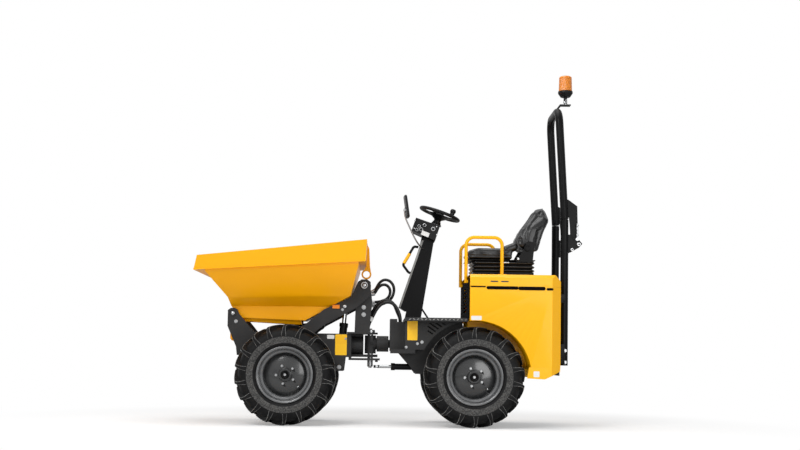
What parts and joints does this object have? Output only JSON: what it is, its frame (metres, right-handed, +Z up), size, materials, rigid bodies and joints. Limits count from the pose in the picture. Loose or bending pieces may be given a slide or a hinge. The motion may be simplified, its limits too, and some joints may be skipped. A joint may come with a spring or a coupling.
{
  "type": "site dumper",
  "caption": "Compact articulated site dumper with a high-tip skip on a lifting arm, folding roll-over hoop, suspension seat and tilted steering column on four lugged tyres",
  "frame": {"origin": "on the ground under the middle of the machine's overall box", "axes": "+X forward, +Y to the machine's left, +Z up"},
  "size_m": [2.95, 0.99, 2.77],
  "materials": {
    "yellow_paint": "gloss paint, worn",
    "grey_paint": "satin paint, dusty",
    "black_paint": "satin paint",
    "pin_steel": "turned",
    "rod_chrome": "polished",
    "black_plastic": "moulded",
    "tyre_rubber": "dusty",
    "rim_paint": "satin paint",
    "seat_vinyl": "grained vinyl",
    "bellows_rubber": "matte",
    "hose_rubber": "matte, braided sleeve",
    "amber_lens": "clear moulded lens"
  },
  "bodies": {
    "rear_frame": {"rear_chassis": "grey_paint", "footplate": "grey_paint", "engine": "black_paint", "body_panels": "yellow_paint", "bonnet": "yellow_paint", "bulkhead_grille": "black_paint", "steering_column": "black_paint", "dash_box": "black_plastic", "mirror": "black_plastic", "guard_rail_left": "yellow_paint", "guard_rail_right": "yellow_paint", "seat_bellows": "bellows_rubber", "seat_frame": "black_paint", "seat_cushion": "seat_vinyl", "seat_back": "seat_vinyl", "rops_posts": "black_paint", "rear_axle": "grey_paint"},
    "steering_wheel": {"steering_wheel": "black_plastic"},
    "pivot_yoke": {"pivot_yoke": "grey_paint", "hose_over_pivot_left": "hose_rubber", "hose_over_pivot_right": "hose_rubber"},
    "front_frame": {"front_chassis": "grey_paint", "lift_tower": "grey_paint", "kingpin": "pin_steel", "front_axle": "grey_paint", "hose_loop_outer": "hose_rubber", "hose_loop_inner": "hose_rubber"},
    "lift_arm": {"lift_arm": "grey_paint", "arm_reflectors": "amber_lens"},
    "skip": {"skip": "yellow_paint", "lifting_eye": "black_paint"},
    "lift_ram_barrels": {"lift_ram_barrel_left": "black_paint", "lift_ram_barrel_right": "black_paint"},
    "lift_ram_rods": {"lift_ram_rod_left": "rod_chrome", "lift_ram_rod_right": "rod_chrome"},
    "tip_ram_barrel": {"tip_ram_barrel": "black_paint"},
    "tip_ram_rod": {"tip_ram_rod": "rod_chrome"},
    "steering_ram_barrel": {"steering_ram_barrel": "black_paint"},
    "steering_ram_rod": {"steering_ram_rod": "rod_chrome"},
    "rops_hoop": {"rops_hoop": "black_paint", "beacon_base": "black_plastic", "beacon_lens": "amber_lens"},
    "wheel_front_left": {"tyre_front_left": "tyre_rubber", "wheel_rim_front_left": "rim_paint"},
    "wheel_front_right": {"tyre_front_right": "tyre_rubber", "wheel_rim_front_right": "rim_paint"},
    "wheel_rear_left": {"tyre_rear_left": "tyre_rubber", "wheel_rim_rear_left": "rim_paint"},
    "wheel_rear_right": {"tyre_rear_right": "tyre_rubber", "wheel_rim_rear_right": "rim_paint"}
  },
  "joints": [
    {"name": "oscillation", "type": "hinge", "parent": "rear_frame", "child": "pivot_yoke", "pos_m": [0, 0, 0.625], "axis": [1, 0, 0], "range_deg": [-8, 8]},
    {"name": "articulation", "type": "hinge", "parent": "pivot_yoke", "child": "front_frame", "pos_m": [0.146, 0, 0.62], "axis": [0, 0, 1], "range_deg": [-32, 32]},
    {"name": "lift", "type": "hinge", "parent": "front_frame", "child": "lift_arm", "pos_m": [0.197, 0, 1.072], "axis": [0, -1, 0], "range_deg": [0, 45]},
    {"name": "tip", "type": "hinge", "parent": "lift_arm", "child": "skip", "pos_m": [1.205, 0, 0.842], "axis": [0, 1, 0], "range_deg": [0, 90]},
    {"name": "lift_ram_swing", "type": "hinge", "parent": "front_frame", "child": "lift_ram_barrels", "pos_m": [0.384, 0, 0.439], "axis": [0, 1, 0], "range_deg": [-1, 10]},
    {"name": "lift_ram_stroke", "type": "slide", "parent": "lift_ram_barrels", "child": "lift_ram_rods", "axis": [-0.0832, 0, 0.9965], "range_m": [0, 0.155]},
    {"name": "tip_ram_swing", "type": "hinge", "parent": "lift_arm", "child": "tip_ram_barrel", "pos_m": [0.545, 0, 0.765], "axis": [0, -1, 0], "range_deg": [-1, 14]},
    {"name": "tip_ram_stroke", "type": "slide", "parent": "tip_ram_barrel", "child": "tip_ram_rod", "axis": [0.9879, 0, -0.1548], "range_m": [-0.225, 0.001]},
    {"name": "steering_ram_swing", "type": "hinge", "parent": "rear_frame", "child": "steering_ram_barrel", "pos_m": [-0.247, 0.095, 0.448], "axis": [0, 0, 1], "range_deg": [-6, 6]},
    {"name": "steering_ram_stroke", "type": "slide", "parent": "steering_ram_barrel", "child": "steering_ram_rod", "axis": [0.9996, 0.0291, 0], "range_m": [-0.058, 0.058]},
    {"name": "steering_wheel_turn", "type": "hinge", "parent": "rear_frame", "child": "steering_wheel", "pos_m": [-0.388, 0, 1.655], "axis": [-0.3256, 0, 0.9455], "continuous": true},
    {"name": "rops_fold", "type": "hinge", "parent": "rear_frame", "child": "rops_hoop", "pos_m": [-1.411, 0, 1.449], "axis": [0, -1, 0], "range_deg": [0, 120]},
    {"name": "wheel_front_left_spin", "type": "hinge", "parent": "front_frame", "child": "wheel_front_left", "pos_m": [0.781, 0.363, 0.38], "axis": [0, 1, 0], "continuous": true},
    {"name": "wheel_front_right_spin", "type": "hinge", "parent": "front_frame", "child": "wheel_front_right", "pos_m": [0.781, -0.363, 0.38], "axis": [0, 1, 0], "continuous": true},
    {"name": "wheel_rear_left_spin", "type": "hinge", "parent": "rear_frame", "child": "wheel_rear_left", "pos_m": [-0.641, 0.363, 0.38], "axis": [0, 1, 0], "continuous": true},
    {"name": "wheel_rear_right_spin", "type": "hinge", "parent": "rear_frame", "child": "wheel_rear_right", "pos_m": [-0.641, -0.363, 0.38], "axis": [0, 1, 0], "continuous": true}
  ],
  "couplings": [
    {"joint": "lift_ram_swing", "follows": "lift", "ratio": 0.2},
    {"joint": "lift_ram_stroke", "follows": "lift", "m_per_rad": 0.19},
    {"joint": "tip_ram_swing", "follows": "tip", "ratio": 0.145},
    {"joint": "tip_ram_stroke", "follows": "tip", "m_per_rad": -0.1407},
    {"joint": "steering_ram_swing", "follows": "articulation", "ratio": -0.144},
    {"joint": "steering_ram_stroke", "follows": "articulation", "m_per_rad": -0.0985}
  ]
}
